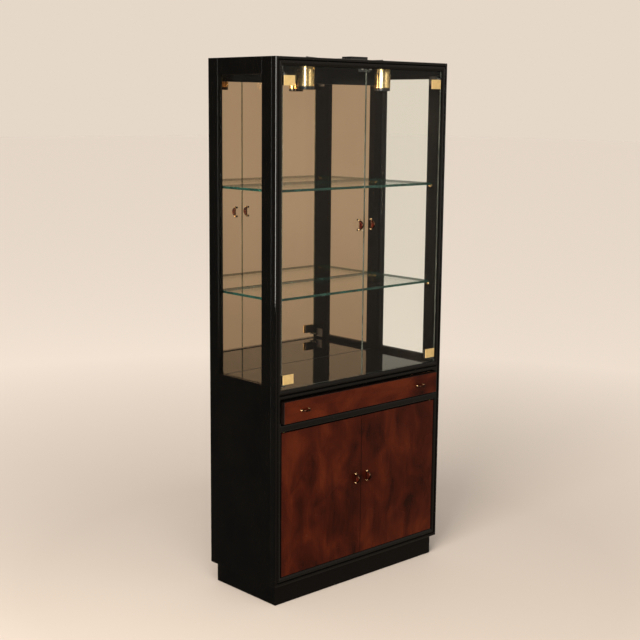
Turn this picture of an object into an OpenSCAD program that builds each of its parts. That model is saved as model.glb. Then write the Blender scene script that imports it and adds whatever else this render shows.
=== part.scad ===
// Lighted display cabinet: lacquered case with a mirror back, glass sides, glass shelves,
// two pivoting glass doors, a drawer, and two veneered doors below it.
// Millimetres. X is the width, the front faces -Y, and Z is up from the floor.
// The origin is on the floor, under the middle of the case.

/* [Case] */
// Width over the side panels
case_w = 900; // [700:1:1300]
// Depth from the face frame to the rear edges of the sides
case_d = 384; // [340:1:520]
// Height of the case above the floor
case_h = 2032; // [1850:1:2300]
// Thickness of the sides, top, deck and bottom
panel_t = 19; // [16:1:25]
// Thickness of the back panel
back_t = 6; // [4:1:9]
// How far the back panel sits in from the rear edges
back_recess = 2; // [0:1:6]
// Thickness of the panel between the drawer and the lower doors
divider_t = 12; // [9:1:16]

/* [Plinth] */
// Height of the plinth
plinth_h = 78; // [50:1:110]
// How far the plinth stands in from the case all round
plinth_inset = 18; // [10:1:40]
// Thickness of the plinth boards
plinth_t = 19; // [16:1:25]

/* [Face frame] */
// Width of the stiles and of the top rail
frame_w = 32; // [30:1:45]
// Thickness of the face frame
frame_t = 25; // [22:1:32]
// Height of the bottom rail
bottom_rail_h = 34; // [30:1:50]
// Height of the rail under the drawer
drawer_rail_h = 32; // [28:1:45]
// Height of the double reeded rail at the waist
waist_rail_h = 40; // [38:1:55]
// Half the width of a rounded reed
reed_half = 10.5; // [8:0.5:12]
// How far a reed stands above its edges
reed_rise = 5; // [3:0.5:6]
// Radius of the outer arris of the frame
arris_r = 5; // [2:0.5:6]
// Width of the quirk beside a reed
quirk_w = 1.5; // [1:0.5:3]

/* [Openings] */
// Height of the lower door opening
door_opening_h = 560; // [420:1:620]
// Height of the drawer opening
drawer_opening_h = 88; // [75:1:120]
// Gap between a door or drawer front and the frame
door_gap = 2; // [1.5:0.1:3]
// Gap on each side of the middle, where a pair of doors meets
meeting_gap = 1; // [0.5:0.1:2]

/* [Side windows] */
// Width of the front upright beside a window
front_upright_w = 53; // [46:1:80]
// Width of the rear upright beside a window
rear_upright_w = 54; // [48:1:80]
// Height of the side frame above a window
window_head_h = 61; // [45:1:90]
// Height of the sill above the deck
window_sill_h = 18; // [12:1:40]
// Thickness of the side glass
side_glass_t = 4; // [3:0.5:5]
// Width of the rebate that holds the side glass
rebate_w = 8; // [6:1:12]
// Depth of the rebate from the inner face
rebate_d = 9; // [7:1:11]
// Clearance round the side glass in its rebate
glass_clear = 1; // [0.5:0.5:2]

/* [Interior] */
// How far the deck lies below the top of the waist rail
deck_drop = 2; // [0:1:4]
// Thickness of the mirror
mirror_t = 5; // [4:1:6]
// Height of the header above the mirror
header_h = 65; // [40:1:100]
// Thickness of the header
header_t = 19; // [16:1:22]
// Depth of the front posts that carry hinges and shelf pins
front_post_d = 45; // [40:1:55]
// Depth of the rear posts in front of the mirror
rear_post_d = 29; // [20:1:35]
// Thickness of the glass shelves
shelf_t = 9.5; // [6:0.5:12]
// Height of the top of the lower glass shelf above the deck
lower_shelf_rise = 334.5; // [250:0.5:400]
// Height of the top of the upper glass shelf above the lower one
shelf_pitch = 397; // [300:1:420]
// Gap between a glass shelf and each post
shelf_side_gap = 2; // [1:0.5:4]
// Gap between the glass shelves and the mirror
shelf_back_gap = 3; // [2:0.5:6]
// Distance from the frame's back to the front edge of a shelf
shelf_setback = 17; // [10:1:40]
// Radius of a shelf pin
pin_r = 3; // [2.5:0.25:3.5]
// Reach of a shelf pin under its shelf
pin_reach = 10; // [8:1:14]
// Depth of a shelf pin's hole
pin_hole = 9; // [6:1:10]
// Height of the top of the wooden shelf above the cabinet's bottom panel
wood_shelf_rise = 302; // [200:1:350]

/* [Lights] */
// Distance of each light from the middle
can_x = 202; // [120:1:240]
// Distance of the lights behind the front of the frame
can_y = 118; // [100:1:150]
// Radius of a light's brass shell
can_r = 31; // [28:0.5:40]
// Length of a light's brass shell
can_len = 81; // [70:1:110]
// Wall of the brass shell
can_wall = 1.2; // [1:0.1:2]
// How far the black baffle shows below the shell
baffle_drop = 11; // [6:1:16]
// Radius of the lamp's face
bulb_r = 23; // [20:0.5:24]
// Radius of the threaded stem through the top
stem_r = 5; // [4:0.5:6]

/* [Wiring on top] */
// Width of the wiring box
box_w = 86; // [60:1:120]
// Depth of the wiring box
box_d = 50; // [40:1:60]
// Height of the wiring box
box_h = 12; // [11:1:30]
// Distance of the box's middle behind the front of the frame
box_y = 68; // [60:1:110]
// Radius of the leads to the lights
lead_r = 2.2; // [1.8:0.1:2.5]

/* [Glass doors] */
// Thickness of the glass doors
door_glass_t = 6; // [5:0.5:8]
// How far the glass doors stand behind the front of the frame
glass_setback = 3; // [3:0.5:5]
// Width of a brass hinge plate
plate_w = 52; // [44:1:64]
// Height of a brass hinge plate
plate_h = 36; // [30:1:44]
// Thickness of a brass hinge plate
plate_t = 2.5; // [2:0.5:2.5]
// Gap between a hinge plate and the frame's inner edge
plate_gap = 6; // [3:0.5:6]
// Height of the middle of the lower hinges above the waist rail
hinge_low = 38; // [34:1:120]
// Distance of the middle of the upper hinges below the top rail
hinge_top = 51; // [44:1:120]
// Distance of the pivot axis from the frame's inner edge
pivot_in = 11; // [11:0.5:13]
// Radius of the hinge's pivot
pivot_r = 2; // [1.5:0.25:2.25]
// Thickness of a hinge arm
arm_t = 6; // [4:0.5:8]
// Thickness of the clamp plate behind the glass
clamp_t = 4; // [3:0.5:5]
// Height of the glass door pulls above the waist rail
glass_pull_rise = 586; // [400:1:700]

/* [Drawer] */
// How far the drawer front stands proud of the frame
drawer_proud = 12.7; // [6:0.1:16]
// Thickness of the drawer front
drawer_front_t = 20; // [18:1:22]
// Length of the drawer's sides
drawer_len = 330; // [260:1:335]
// Thickness of the drawer's sides and back
drawer_side_t = 12; // [10:1:15]
// Thickness of the drawer's bottom
drawer_bottom_t = 6; // [4:1:6]
// Distance of the drawer pulls from the middle
drawer_pull_x = 311; // [200:1:340]

/* [Lower doors] */
// Thickness of the veneered doors
wood_door_t = 19; // [18:1:22]
// How far the veneered doors stand behind the front of the frame
wood_setback = 2; // [1:0.5:4]
// Distance of the pivot axis from the door's outer edge
wood_pivot_in = 16; // [15:1:28]
// Distance of the pivot axis behind the door's front
wood_pivot_back = 7; // [6.5:0.5:7]
// Height of the pulls above the bottom rail
wood_pull_rise = 311; // [200:1:350]

/* [Pulls] */
// Radius of a pull's bow
bow_r = 15; // [12:0.5:18]
// Length of the straight legs between a bow and its spine
bow_leg = 2.5; // [1:0.5:6]
// Half the length of the spine, from the pull's middle to a ball's middle
spine_half = 18.5; // [17:0.5:24]
// Radius of the spine between the balls
spine_r = 3; // [2.5:0.1:3.5]
// Radius of the bow's bar
bar_r = 2.6; // [2:0.1:3]
// Radius of the balls at the spine's ends
ball_r = 4.4; // [3.5:0.1:5]
// Thickness of the inlay inside the bow
inlay_t = 4; // [3:0.5:5]
// Distance of a pull from the meeting line
pull_x = 31; // [26:1:60]

/* [Hidden] */
$fn = 48;

lacquer = [0.05, 0.05, 0.055];
brass = [0.83, 0.66, 0.30];
veneer = [0.36, 0.11, 0.05];
clear_glass = [0.80, 0.90, 0.86, 0.35];
bronze_mirror = [0.55, 0.45, 0.35];
plain_wood = [0.72, 0.56, 0.38];

// Main planes
half_w = case_w / 2;
front_y = -case_d / 2;
rear_y = case_d / 2;
frame_back_y = front_y + frame_t;
inner_x = half_w - panel_t;
open_x = half_w - frame_w;
back_front_y = rear_y - back_recess - back_t;

// Levels
bottom_rail_z = plinth_h + bottom_rail_h;
drawer_rail_z = bottom_rail_z + door_opening_h;
drawer_z = drawer_rail_z + drawer_rail_h;
waist_z = drawer_z + drawer_opening_h;
display_z = waist_z + waist_rail_h;
top_rail_z = case_h - frame_w;
deck_z = display_z - deck_drop;
ceiling_z = case_h - panel_t;
sill_z = deck_z + window_sill_h;
head_z = case_h - window_head_h;
divider_z = drawer_rail_z + (drawer_rail_h - divider_t) / 2;
header_z = ceiling_z - header_h;

// Window edges along Y
window_front_y = frame_back_y + front_upright_w;
window_rear_y = rear_y - rear_upright_w;

// Reed profile
reed_r = (reed_half * reed_half + reed_rise * reed_rise) / (2 * reed_rise);
reed_a = asin(reed_half / reed_r);
reed_steps = 10;
strip_w = frame_w - 2 * reed_half - quirk_w;

// Interior pieces
post_t = frame_w - panel_t;
mirror_y = back_front_y - mirror_t;
shelf_half = open_x - shelf_side_gap;
shelf_front_y = frame_back_y + shelf_setback;
shelf_rear_y = mirror_y - shelf_back_gap;
lower_shelf_z = deck_z + lower_shelf_rise;
upper_shelf_z = lower_shelf_z + shelf_pitch;
front_pin_y = frame_back_y + front_post_d / 2;
rear_pin_y = mirror_y - rear_post_d / 2;
wood_shelf_z = plinth_h + panel_t + wood_shelf_rise;
wood_pin_y = case_d / 2 - 82;

// Lights
light_y = front_y + can_y;
can_z = ceiling_z - can_len;
baffle_r = can_r - can_wall;
baffle_h = baffle_drop + 14;
socket_h = 30;
socket_r = 16;
cap_r = 12.5;
stem_top = case_h + 4;
nut_h = 3;

// Wiring box
wiring_y = front_y + box_y;
wiring_wall = 1.8;
lead_z = case_h + lead_r + 0.3;
lead_points = [
    [can_x, light_y, case_h + 2],
    [can_x, light_y, stem_top + 1],
    [can_x - 4, light_y, stem_top + 2.6],
    [can_x - 14, light_y - 1, stem_top + 1.6],
    [can_x - 40, light_y - 3, lead_z + 2],
    [can_x - 84, light_y - 5, lead_z],
    [box_w / 2 + 18, wiring_y + 9, lead_z],
    [box_w / 2 - 5, wiring_y + 8, lead_z + 2]
];

// Glass doors
glass_y = front_y + glass_setback;
glass_rear_y = glass_y + door_glass_t;
glass_edge_x = open_x - door_gap;
axis_x = open_x - pivot_in;
axis_y = glass_y + door_glass_t / 2;
notch_x = axis_x - 10;
low_hinge_z = display_z + hinge_low;
top_hinge_z = top_rail_z - hinge_top;
clamp_half = plate_h / 2 - 1;
arm_gap = 0.6;
notch_reach = plate_h / 2 + arm_gap + arm_t + 2;
pivot_play = 0.05;
pivot_len = 12;
boss_r = 4.8;
glass_pull_z = display_z + glass_pull_rise;

// Lower doors
wood_y = front_y + wood_setback;
wood_edge_x = open_x - door_gap;
wood_axis_x = wood_edge_x - wood_pivot_in;
wood_axis_y = wood_y + wood_pivot_back;
wood_pull_z = bottom_rail_z + wood_pull_rise;
pivot_pin_r = 2.5;
pivot_in_rail = 6;
pivot_in_door = 8;

// Drawer
drawer_y = front_y - drawer_proud;
drawer_rear_y = drawer_y + drawer_front_t;
drawer_half = open_x - door_gap;
side_out_x = drawer_half - 2;
side_in_x = side_out_x - drawer_side_t;
side_z0 = drawer_z + 4;
side_z1 = waist_z - 4;
drawer_bottom_z = side_z0 + 6;
drawer_end_y = min(drawer_rear_y + drawer_len, back_front_y - 20);
runner_play = 0.4;

module block(low, high) {
    translate(low) cube(high - low);
}

// Both sides of the case
module both_sides() {
    children();
    mirror([1, 0, 0]) children();
}

// Arc of a reed whose crest is at s, between two angles
function reed(s, a0, a1) = [
    for (i = [0:reed_steps])
        let (a = a0 + (a1 - a0) * i / reed_steps)
        [s + reed_r * sin(a), reed_r * (1 - cos(a))]
];

function arris() = [
    for (i = [0:6])
        let (a = 90 * i / 6)
        [arris_r * (1 - cos(a)), arris_r * (1 - sin(a))]
];

// Section of a stile, outer edge at 0 and inner edge at w: arris, strip, quirk and reed
function stile_section(w) = concat(
    [[0, frame_t]], arris(),
    [[w - 2 * reed_half - quirk_w, 0], [w - 2 * reed_half - quirk_w / 2, reed_rise]],
    reed(w - reed_half, -reed_a, reed_a),
    [[w, frame_t]]
);

// Section of a rail that has an opening above and below it
function rail_section(h) = concat(
    [[0, frame_t]], reed(reed_half, -reed_a, 0), reed(h - reed_half, 0, reed_a), [[h, frame_t]]
);

// Section of the waist rail: a full reed above, a quirk, then a strip with a rounded lower edge
function waist_section(h) = concat(
    [[0, frame_t]], reed(reed_half, -reed_a, reed_a),
    [[2 * reed_half + quirk_w / 2, reed_rise], [2 * reed_half + quirk_w, 0]],
    reed(h - reed_half, 0, reed_a), [[h, frame_t]]
);

// Prism of an outline drawn in X and Z, over the depth of the face frame
module frame_prism(points) {
    translate([0, frame_back_y + 1, 0]) rotate([90, 0, 0])
        linear_extrude(frame_t + 2) polygon(points);
}

// Pointed outline of a cross rail, whose ends run into the reeds of the stiles
function rail_outline(z0, z1) = [
    [-open_x, z0], [-open_x - reed_half, z0 + reed_half], [-open_x - reed_half, z1 - reed_half],
    [-open_x, z1], [open_x, z1], [open_x + reed_half, z1 - reed_half],
    [open_x + reed_half, z0 + reed_half], [open_x, z0]
];

function stile_outline() = [
    [-half_w, plinth_h], [-half_w, case_h], [-open_x, top_rail_z],
    [-open_x, display_z], [-open_x - reed_half, display_z - reed_half],
    [-open_x - reed_half, waist_z + reed_half], [-open_x, waist_z],
    [-open_x, drawer_z], [-open_x - reed_half, drawer_z - reed_half],
    [-open_x - reed_half, drawer_rail_z + reed_half], [-open_x, drawer_rail_z],
    [-open_x, bottom_rail_z]
];

module stile_body() {
    intersection() {
        translate([-half_w, front_y, plinth_h])
            linear_extrude(case_h - plinth_h) polygon(stile_section(frame_w));
        frame_prism(stile_outline());
    }
}

// A rail along X whose section runs down from z_top
module rail_body(section, z_top) {
    translate([-half_w, front_y, z_top]) rotate([0, 90, 0])
        linear_extrude(case_w) polygon(section);
}

module stile_left() { color(lacquer) stile_body(); }
module stile_right() { color(lacquer) mirror([1, 0, 0]) stile_body(); }

module top_rail() {
    color(lacquer) intersection() {
        rail_body(stile_section(frame_w), case_h);
        frame_prism([[-half_w, case_h], [half_w, case_h], [open_x, top_rail_z], [-open_x, top_rail_z]]);
    }
}

module waist_rail() {
    color(lacquer) intersection() {
        rail_body(waist_section(waist_rail_h), display_z);
        frame_prism(rail_outline(waist_z, display_z));
    }
}

module drawer_rail() {
    color(lacquer) difference() {
        intersection() {
            rail_body(rail_section(drawer_rail_h), drawer_z);
            frame_prism(rail_outline(drawer_rail_z, drawer_z));
        }
        both_sides() translate([wood_axis_x, wood_axis_y, drawer_rail_z - 1])
            cylinder(r = pivot_pin_r, h = pivot_in_rail + 1);
    }
}

module bottom_rail() {
    color(lacquer) difference() {
        intersection() {
            translate([0, 0, 2 * plinth_h + bottom_rail_h]) mirror([0, 0, 1])
                rail_body(stile_section(bottom_rail_h), bottom_rail_z);
            frame_prism([[-half_w, plinth_h], [-open_x, bottom_rail_z],
                [open_x, bottom_rail_z], [half_w, plinth_h]]);
        }
        both_sides() translate([wood_axis_x, wood_axis_y, bottom_rail_z - pivot_in_rail])
            cylinder(r = pivot_pin_r, h = pivot_in_rail + 1);
    }
}

// Plinth
plinth_x = half_w - plinth_inset;
plinth_y = case_d / 2 - plinth_inset;

module plinth_front() {
    color(lacquer) block([-plinth_x, -plinth_y, 0], [plinth_x, plinth_t - plinth_y, plinth_h]);
}

module plinth_back() {
    color(lacquer) block([-plinth_x, plinth_y - plinth_t, 0], [plinth_x, plinth_y, plinth_h]);
}

module plinth_cross_boards() {
    cross_y = plinth_y - plinth_t;
    color(lacquer) {
        both_sides() block([plinth_x - plinth_t, -cross_y, 0], [plinth_x, cross_y, plinth_h]);
        block([-plinth_t / 2, -cross_y, 0], [plinth_t / 2, cross_y, plinth_h]);
    }
}

// Sides: a lower panel, two uprights and a head round each window
module window_rebate() {
    block([inner_x, window_front_y - rebate_w, sill_z - rebate_w],
        [inner_x + rebate_d, window_rear_y + rebate_w, head_z + rebate_w]);
    block([inner_x - 1, window_front_y - rebate_w, sill_z - rebate_w],
        [inner_x + 1, window_rear_y + rebate_w, head_z + rebate_w]);
}

module pin_holes(x, y, z) {
    translate([x - 1, y, z]) rotate([0, 90, 0]) cylinder(r = pin_r, h = pin_hole + 1);
}

module side_panel() {
    difference() {
        block([inner_x, frame_back_y, plinth_h], [half_w, rear_y, sill_z]);
        window_rebate();
        for (y = [-wood_pin_y, wood_pin_y]) pin_holes(inner_x, y, wood_shelf_z - panel_t - pin_r);
    }
}

module side_panel_left() { color(lacquer) mirror([1, 0, 0]) side_panel(); }
module side_panel_right() { color(lacquer) side_panel(); }

module front_window_uprights() {
    color(lacquer) both_sides() difference() {
        block([inner_x, frame_back_y, sill_z], [half_w, window_front_y, case_h]);
        window_rebate();
    }
}

module rear_window_uprights() {
    color(lacquer) both_sides() difference() {
        block([inner_x, window_rear_y, sill_z], [half_w, rear_y, case_h]);
        window_rebate();
    }
}

module window_heads() {
    color(lacquer) both_sides() difference() {
        block([inner_x, window_front_y, head_z], [half_w, window_rear_y, case_h]);
        window_rebate();
    }
}

module side_glass() {
    block([inner_x + rebate_d - side_glass_t, window_front_y - rebate_w + glass_clear,
            sill_z - rebate_w + glass_clear],
        [inner_x + rebate_d, window_rear_y + rebate_w - glass_clear,
            head_z + rebate_w - glass_clear]);
}

module side_glass_left() { color(clear_glass) mirror([1, 0, 0]) side_glass(); }
module side_glass_right() { color(clear_glass) side_glass(); }

module glass_beads() {
    bead_x = inner_x + rebate_d - side_glass_t;
    color(lacquer) both_sides() {
        block([inner_x, window_front_y - rebate_w, sill_z - rebate_w],
            [bead_x, window_front_y, head_z + rebate_w]);
        block([inner_x, window_rear_y, sill_z - rebate_w],
            [bead_x, window_rear_y + rebate_w, head_z + rebate_w]);
        block([inner_x, window_front_y, sill_z - rebate_w], [bead_x, window_rear_y, sill_z]);
        block([inner_x, window_front_y, head_z], [bead_x, window_rear_y, head_z + rebate_w]);
    }
}

// Level panels
module bottom_panel() {
    color(lacquer) block([-inner_x, frame_back_y, plinth_h],
        [inner_x, back_front_y, plinth_h + panel_t]);
}

module divider_panel() {
    color(plain_wood) block([-inner_x, frame_back_y, divider_z],
        [inner_x, back_front_y, divider_z + divider_t]);
}

module display_deck() {
    color(lacquer) block([-inner_x, frame_back_y, deck_z - panel_t],
        [inner_x, back_front_y, deck_z]);
}

module top_panel() {
    color(lacquer) difference() {
        block([-inner_x, frame_back_y, ceiling_z], [inner_x, rear_y, case_h]);
        both_sides() translate([can_x, light_y, ceiling_z - 1])
            cylinder(r = stem_r + 0.2, h = panel_t + 2);
    }
}

module back_panel() {
    color(lacquer) block([-inner_x, back_front_y, plinth_h],
        [inner_x, back_front_y + back_t, ceiling_z]);
}

module back_header() {
    color(lacquer) block([-inner_x, back_front_y - header_t, header_z],
        [inner_x, back_front_y, ceiling_z]);
}

// Inner posts that carry the shelf pins
module pin_levels() {
    for (z = [lower_shelf_z, upper_shelf_z]) translate([0, 0, z - shelf_t - pin_r]) children();
}

module front_posts() {
    color(lacquer) both_sides() difference() {
        block([open_x, frame_back_y, deck_z], [inner_x, frame_back_y + front_post_d, ceiling_z]);
        pin_levels() pin_holes(open_x, front_pin_y, 0);
    }
}

module rear_posts() {
    color(lacquer) both_sides() difference() {
        block([open_x, mirror_y - rear_post_d, deck_z], [inner_x, mirror_y, header_z]);
        pin_levels() pin_holes(open_x, rear_pin_y, 0);
    }
}

module back_mirror() {
    color(bronze_mirror) block([1 - inner_x, mirror_y, deck_z], [inner_x - 1, back_front_y, header_z]);
}

// Shelves
module glass_shelf(z) {
    block([-shelf_half, shelf_front_y, z - shelf_t], [shelf_half, shelf_rear_y, z]);
}

module glass_shelf_upper() { color(clear_glass) glass_shelf(upper_shelf_z); }
module glass_shelf_lower() { color(clear_glass) glass_shelf(lower_shelf_z); }

module cabinet_shelf() {
    color(plain_wood) block([door_gap - inner_x, shelf_front_y, wood_shelf_z - panel_t],
        [inner_x - door_gap, back_front_y - shelf_back_gap, wood_shelf_z]);
}

module shelf_pin(x, y, z) {
    translate([x, y, z]) rotate([0, 90, 0]) {
        translate([0, 0, -pin_reach]) cylinder(r = pin_r, h = pin_reach + pin_hole);
        translate([0, 0, -1.5]) cylinder(r = 2 * pin_r, h = 1.5);
    }
}

module shelf_pins() {
    color(brass) both_sides() {
        pin_levels() {
            shelf_pin(open_x, front_pin_y, 0);
            shelf_pin(open_x, rear_pin_y, 0);
        }
        for (y = [-wood_pin_y, wood_pin_y])
            shelf_pin(inner_x, y, wood_shelf_z - panel_t - pin_r);
    }
}

// Lights
module at_lights() {
    both_sides() translate([can_x, light_y, 0]) children();
}

module can_shells() {
    color(brass) at_lights() difference() {
        translate([0, 0, can_z]) cylinder(r = can_r, h = can_len);
        translate([0, 0, can_z - 1]) cylinder(r = can_r - can_wall, h = can_len + 1 - can_wall);
        translate([0, 0, ceiling_z - 2 * can_wall]) cylinder(r = stem_r + 0.1, h = 3 * can_wall);
    }
}

module can_baffles() {
    color(lacquer) at_lights() translate([0, 0, can_z - baffle_drop]) difference() {
        cylinder(r = baffle_r, h = baffle_h);
        translate([0, 0, -1]) cylinder(r = bulb_r + 1.5, h = baffle_h + 2);
    }
}

socket_z = ceiling_z - can_wall - 8 - socket_h;

module lamp_sockets() {
    color("ivory") at_lights() difference() {
        translate([0, 0, socket_z]) cylinder(r = socket_r, h = socket_h);
        translate([0, 0, socket_z - 1]) cylinder(r = cap_r + 0.5, h = socket_h - 6);
    }
}

// Reflector lamp: cap, tapered body and a low domed face
module lamp_bulbs() {
    body_z = can_z + 2;
    cap_top = socket_z + socket_h - 7;
    color("white") at_lights() rotate_extrude() polygon(concat(
        [[0, cap_top], [cap_r, cap_top], [cap_r, socket_z - 2], [cap_r + 1, socket_z - 4]],
        [[bulb_r, body_z + 6], [bulb_r, body_z]],
        [for (i = [1:6]) [bulb_r * cos(15 * i), body_z - 5 * sin(15 * i)]]
    ));
}

// Threaded tubes with a nut above the top and a nut inside the shell
module can_stems() {
    color("silver") at_lights() difference() {
        union() {
            translate([0, 0, socket_z + socket_h]) cylinder(r = stem_r, h = stem_top - socket_z - socket_h);
            translate([0, 0, case_h]) cylinder(r = 2 * stem_r, h = nut_h, $fn = 6);
            translate([0, 0, ceiling_z - can_wall - nut_h]) cylinder(r = 2 * stem_r, h = nut_h, $fn = 6);
        }
        translate([0, 0, socket_z + socket_h - 1]) cylinder(r = stem_r - 1.5, h = stem_top);
    }
}

module wiring_box() {
    color(lacquer) difference() {
        block([-box_w / 2, wiring_y - box_d / 2, case_h], [box_w / 2, wiring_y + box_d / 2, case_h + box_h]);
        block([wiring_wall - box_w / 2, wiring_y + wiring_wall - box_d / 2, case_h - 1],
            [box_w / 2 - wiring_wall, wiring_y + box_d / 2 - wiring_wall, case_h + box_h - wiring_wall]);
        both_sides() translate([box_w / 2 - 4, wiring_y + 8, lead_z + 2]) rotate([0, 90, 0])
            cylinder(r = lead_r + 1, h = 6);
    }
}

module light_leads() {
    color(lacquer) both_sides() for (i = [0:len(lead_points) - 2]) hull() {
        translate(lead_points[i]) sphere(r = lead_r, $fn = 12);
        translate(lead_points[i + 1]) sphere(r = lead_r, $fn = 12);
    }
}

// Glass door hinges. Each is drawn on the right side, with dir 1 for an upper hinge
// and -1 for a lower one, whose arm reaches round the door's edge beyond the plate.
module at_hinges(side) {
    mirror([side < 0 ? 1 : 0, 0, 0]) {
        translate([0, 0, top_hinge_z]) children();
        translate([0, 0, low_hinge_z]) mirror([0, 0, 1]) children();
    }
}

module hinge_arm() {
    arm_z = plate_h / 2 + arm_gap;
    leaf_x = open_x - 2.5;
    translate([axis_x, axis_y, arm_z]) cylinder(r = 5, h = arm_t);
    translate([axis_x, axis_y, arm_z - pivot_len]) cylinder(r = pivot_r, h = pivot_len + 1);
    block([axis_x - 2, axis_y, arm_z], [leaf_x + 1, frame_back_y + 8, arm_z + arm_t]);
    block([leaf_x, frame_back_y + 3, arm_z - 22], [open_x, frame_back_y + front_post_d - 6, arm_z + arm_t + 8]);
}

module hinge_arms() {
    color(lacquer) for (side = [-1, 1]) at_hinges(side) hinge_arm();
}

module hinge_clamps(side) {
    color(lacquer) at_hinges(side) difference() {
        union() {
            block([notch_x + 0.2, glass_y, -clamp_half], [open_x - plate_gap, glass_rear_y, clamp_half]);
            block([open_x - plate_w, glass_rear_y, -clamp_half],
                [open_x - plate_gap, glass_rear_y + clamp_t, clamp_half]);
            translate([open_x - plate_w + 14, glass_rear_y + 1, 0]) rotate([90, 0, 0])
                cylinder(r = boss_r, h = door_glass_t + 1);
        }
        translate([axis_x, axis_y, clamp_half - pivot_len - 1])
            cylinder(r = pivot_r + pivot_play, h = pivot_len + 2);
    }
}

module hinge_plates(side) {
    color(brass) at_hinges(side)
        block([open_x - plate_gap - plate_w, glass_y - plate_t, -plate_h / 2],
            [open_x - plate_gap, glass_y, plate_h / 2]);
}

module glass_door(side) {
    color(clear_glass) difference() {
        mirror([side < 0 ? 1 : 0, 0, 0]) block([meeting_gap, glass_y, display_z + door_gap],
            [glass_edge_x, glass_rear_y, top_rail_z - door_gap]);
        at_hinges(side) {
            block([notch_x, glass_y - 1, -clamp_half - 0.2], [open_x, glass_rear_y + 1, notch_reach]);
            translate([open_x - plate_w + 14, glass_rear_y + 1, 0]) rotate([90, 0, 0])
                cylinder(r = boss_r + 0.2, h = door_glass_t + 2);
        }
        for (dz = [-spine_half, spine_half]) translate([side * pull_x, glass_rear_y + 1, glass_pull_z + dz])
            rotate([90, 0, 0]) cylinder(r = 2.3, h = door_glass_t + 2);
    }
}

// Pull: half-round bow between two balls, with an inlay inside the bow. The bow stands
// out towards -Y from a face at y = 0, and its ends lie along Z.
module pull() {
    stand = ball_r;
    bow_y = -stand - bow_leg;
    translate([0, bow_y, 0]) rotate([0, -90, 0]) rotate([0, 0, 180])
        rotate_extrude(angle = 180) translate([bow_r, 0]) circle(r = bar_r, $fn = 24);
    for (dz = [-bow_r, bow_r]) translate([0, -stand, dz]) rotate([90, 0, 0])
        cylinder(r = bar_r, h = bow_leg, $fn = 24);
    translate([0, -stand, -spine_half]) cylinder(r = spine_r, h = 2 * spine_half);
    translate([inlay_t / 2, 0, 0]) rotate([0, -90, 0]) linear_extrude(inlay_t) {
        intersection() {
            translate([0, bow_y]) circle(r = bow_r);
            translate([-bow_r, bow_y - 2 * bow_r]) square([2 * bow_r, 2 * bow_r]);
        }
        translate([-bow_r, bow_y - 0.1]) square([2 * bow_r, bow_leg + 0.1]);
    }
    for (dz = [-spine_half, spine_half]) translate([0, 0, dz]) {
        translate([0, -stand, 0]) sphere(r = ball_r, $fn = 32);
        rotate([90, 0, 0]) cylinder(r = 3, h = stand);
    }
}

// A pull on glass also has a screw through each hole and a cap behind the glass
module glass_pull(side) {
    color(brass) translate([side * pull_x, glass_y, glass_pull_z]) {
        pull();
        for (dz = [-spine_half, spine_half]) translate([0, 0, dz]) rotate([-90, 0, 0]) {
            cylinder(r = 2, h = door_glass_t + 1);
            translate([0, 0, door_glass_t]) cylinder(r = 4.5, h = 2);
        }
    }
}

module glass_door_left() { glass_door(-1); }
module glass_door_right() { glass_door(1); }
module left_hinge_plates() { hinge_plates(-1); }
module right_hinge_plates() { hinge_plates(1); }
module left_hinge_clamps() { hinge_clamps(-1); }
module right_hinge_clamps() { hinge_clamps(1); }
module left_glass_pull() { glass_pull(-1); }
module right_glass_pull() { glass_pull(1); }

// Drawer
module drawer_front() {
    color(veneer) block([-drawer_half, drawer_y, drawer_z + door_gap],
        [drawer_half, drawer_rear_y, waist_z - door_gap]);
}

module drawer_sides() {
    color(plain_wood) both_sides()
        block([side_in_x, drawer_rear_y, side_z0], [side_out_x, drawer_end_y, side_z1]);
}

module drawer_back() {
    color(plain_wood) block([-side_in_x, drawer_end_y - drawer_side_t, drawer_bottom_z + drawer_bottom_t],
        [side_in_x, drawer_end_y, side_z1]);
}

module drawer_bottom() {
    color(plain_wood) block([-side_in_x, drawer_rear_y, drawer_bottom_z],
        [side_in_x, drawer_end_y, drawer_bottom_z + drawer_bottom_t]);
}

module drawer_pulls() {
    color(brass) both_sides()
        translate([drawer_pull_x, drawer_y, (drawer_z + waist_z) / 2]) rotate([0, 90, 0]) pull();
}

// Runners: a ledge under each drawer side and a guide beside it
module drawer_runners() {
    ledge_z = side_z0 - runner_play;
    guide_x = side_out_x + runner_play;
    color(plain_wood) both_sides()
        translate([0, back_front_y - 2, 0]) rotate([90, 0, 0])
        linear_extrude(back_front_y - 2 - frame_back_y) polygon([
            [side_in_x - 4, divider_z + divider_t], [inner_x, divider_z + divider_t],
            [inner_x, ledge_z + 14], [guide_x, ledge_z + 14], [guide_x, ledge_z],
            [side_in_x - 4, ledge_z]
        ]);
}

// Lower doors
module wood_door(side) {
    color(veneer) difference() {
        mirror([side < 0 ? 1 : 0, 0, 0]) block([meeting_gap, wood_y, bottom_rail_z + door_gap],
            [wood_edge_x, wood_y + wood_door_t, drawer_rail_z - door_gap]);
        for (z = [bottom_rail_z, drawer_rail_z - door_gap - pivot_in_door - 1])
            translate([side * wood_axis_x, wood_axis_y, z])
                cylinder(r = pivot_pin_r + pivot_play, h = door_gap + pivot_in_door + 2);
    }
}

module door_pivot_pins() {
    pin_len = pivot_in_rail + door_gap + pivot_in_door;
    color(brass) both_sides() for (z = [bottom_rail_z - pivot_in_rail, drawer_rail_z + pivot_in_rail - pin_len])
        translate([wood_axis_x, wood_axis_y, z]) cylinder(r = pivot_pin_r, h = pin_len);
}

module wood_pull(side) {
    color(brass) translate([side * pull_x, wood_y, wood_pull_z]) pull();
}

module wood_door_left() { wood_door(-1); }
module wood_door_right() { wood_door(1); }
module left_wood_pull() { wood_pull(-1); }
module right_wood_pull() { wood_pull(1); }

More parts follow.
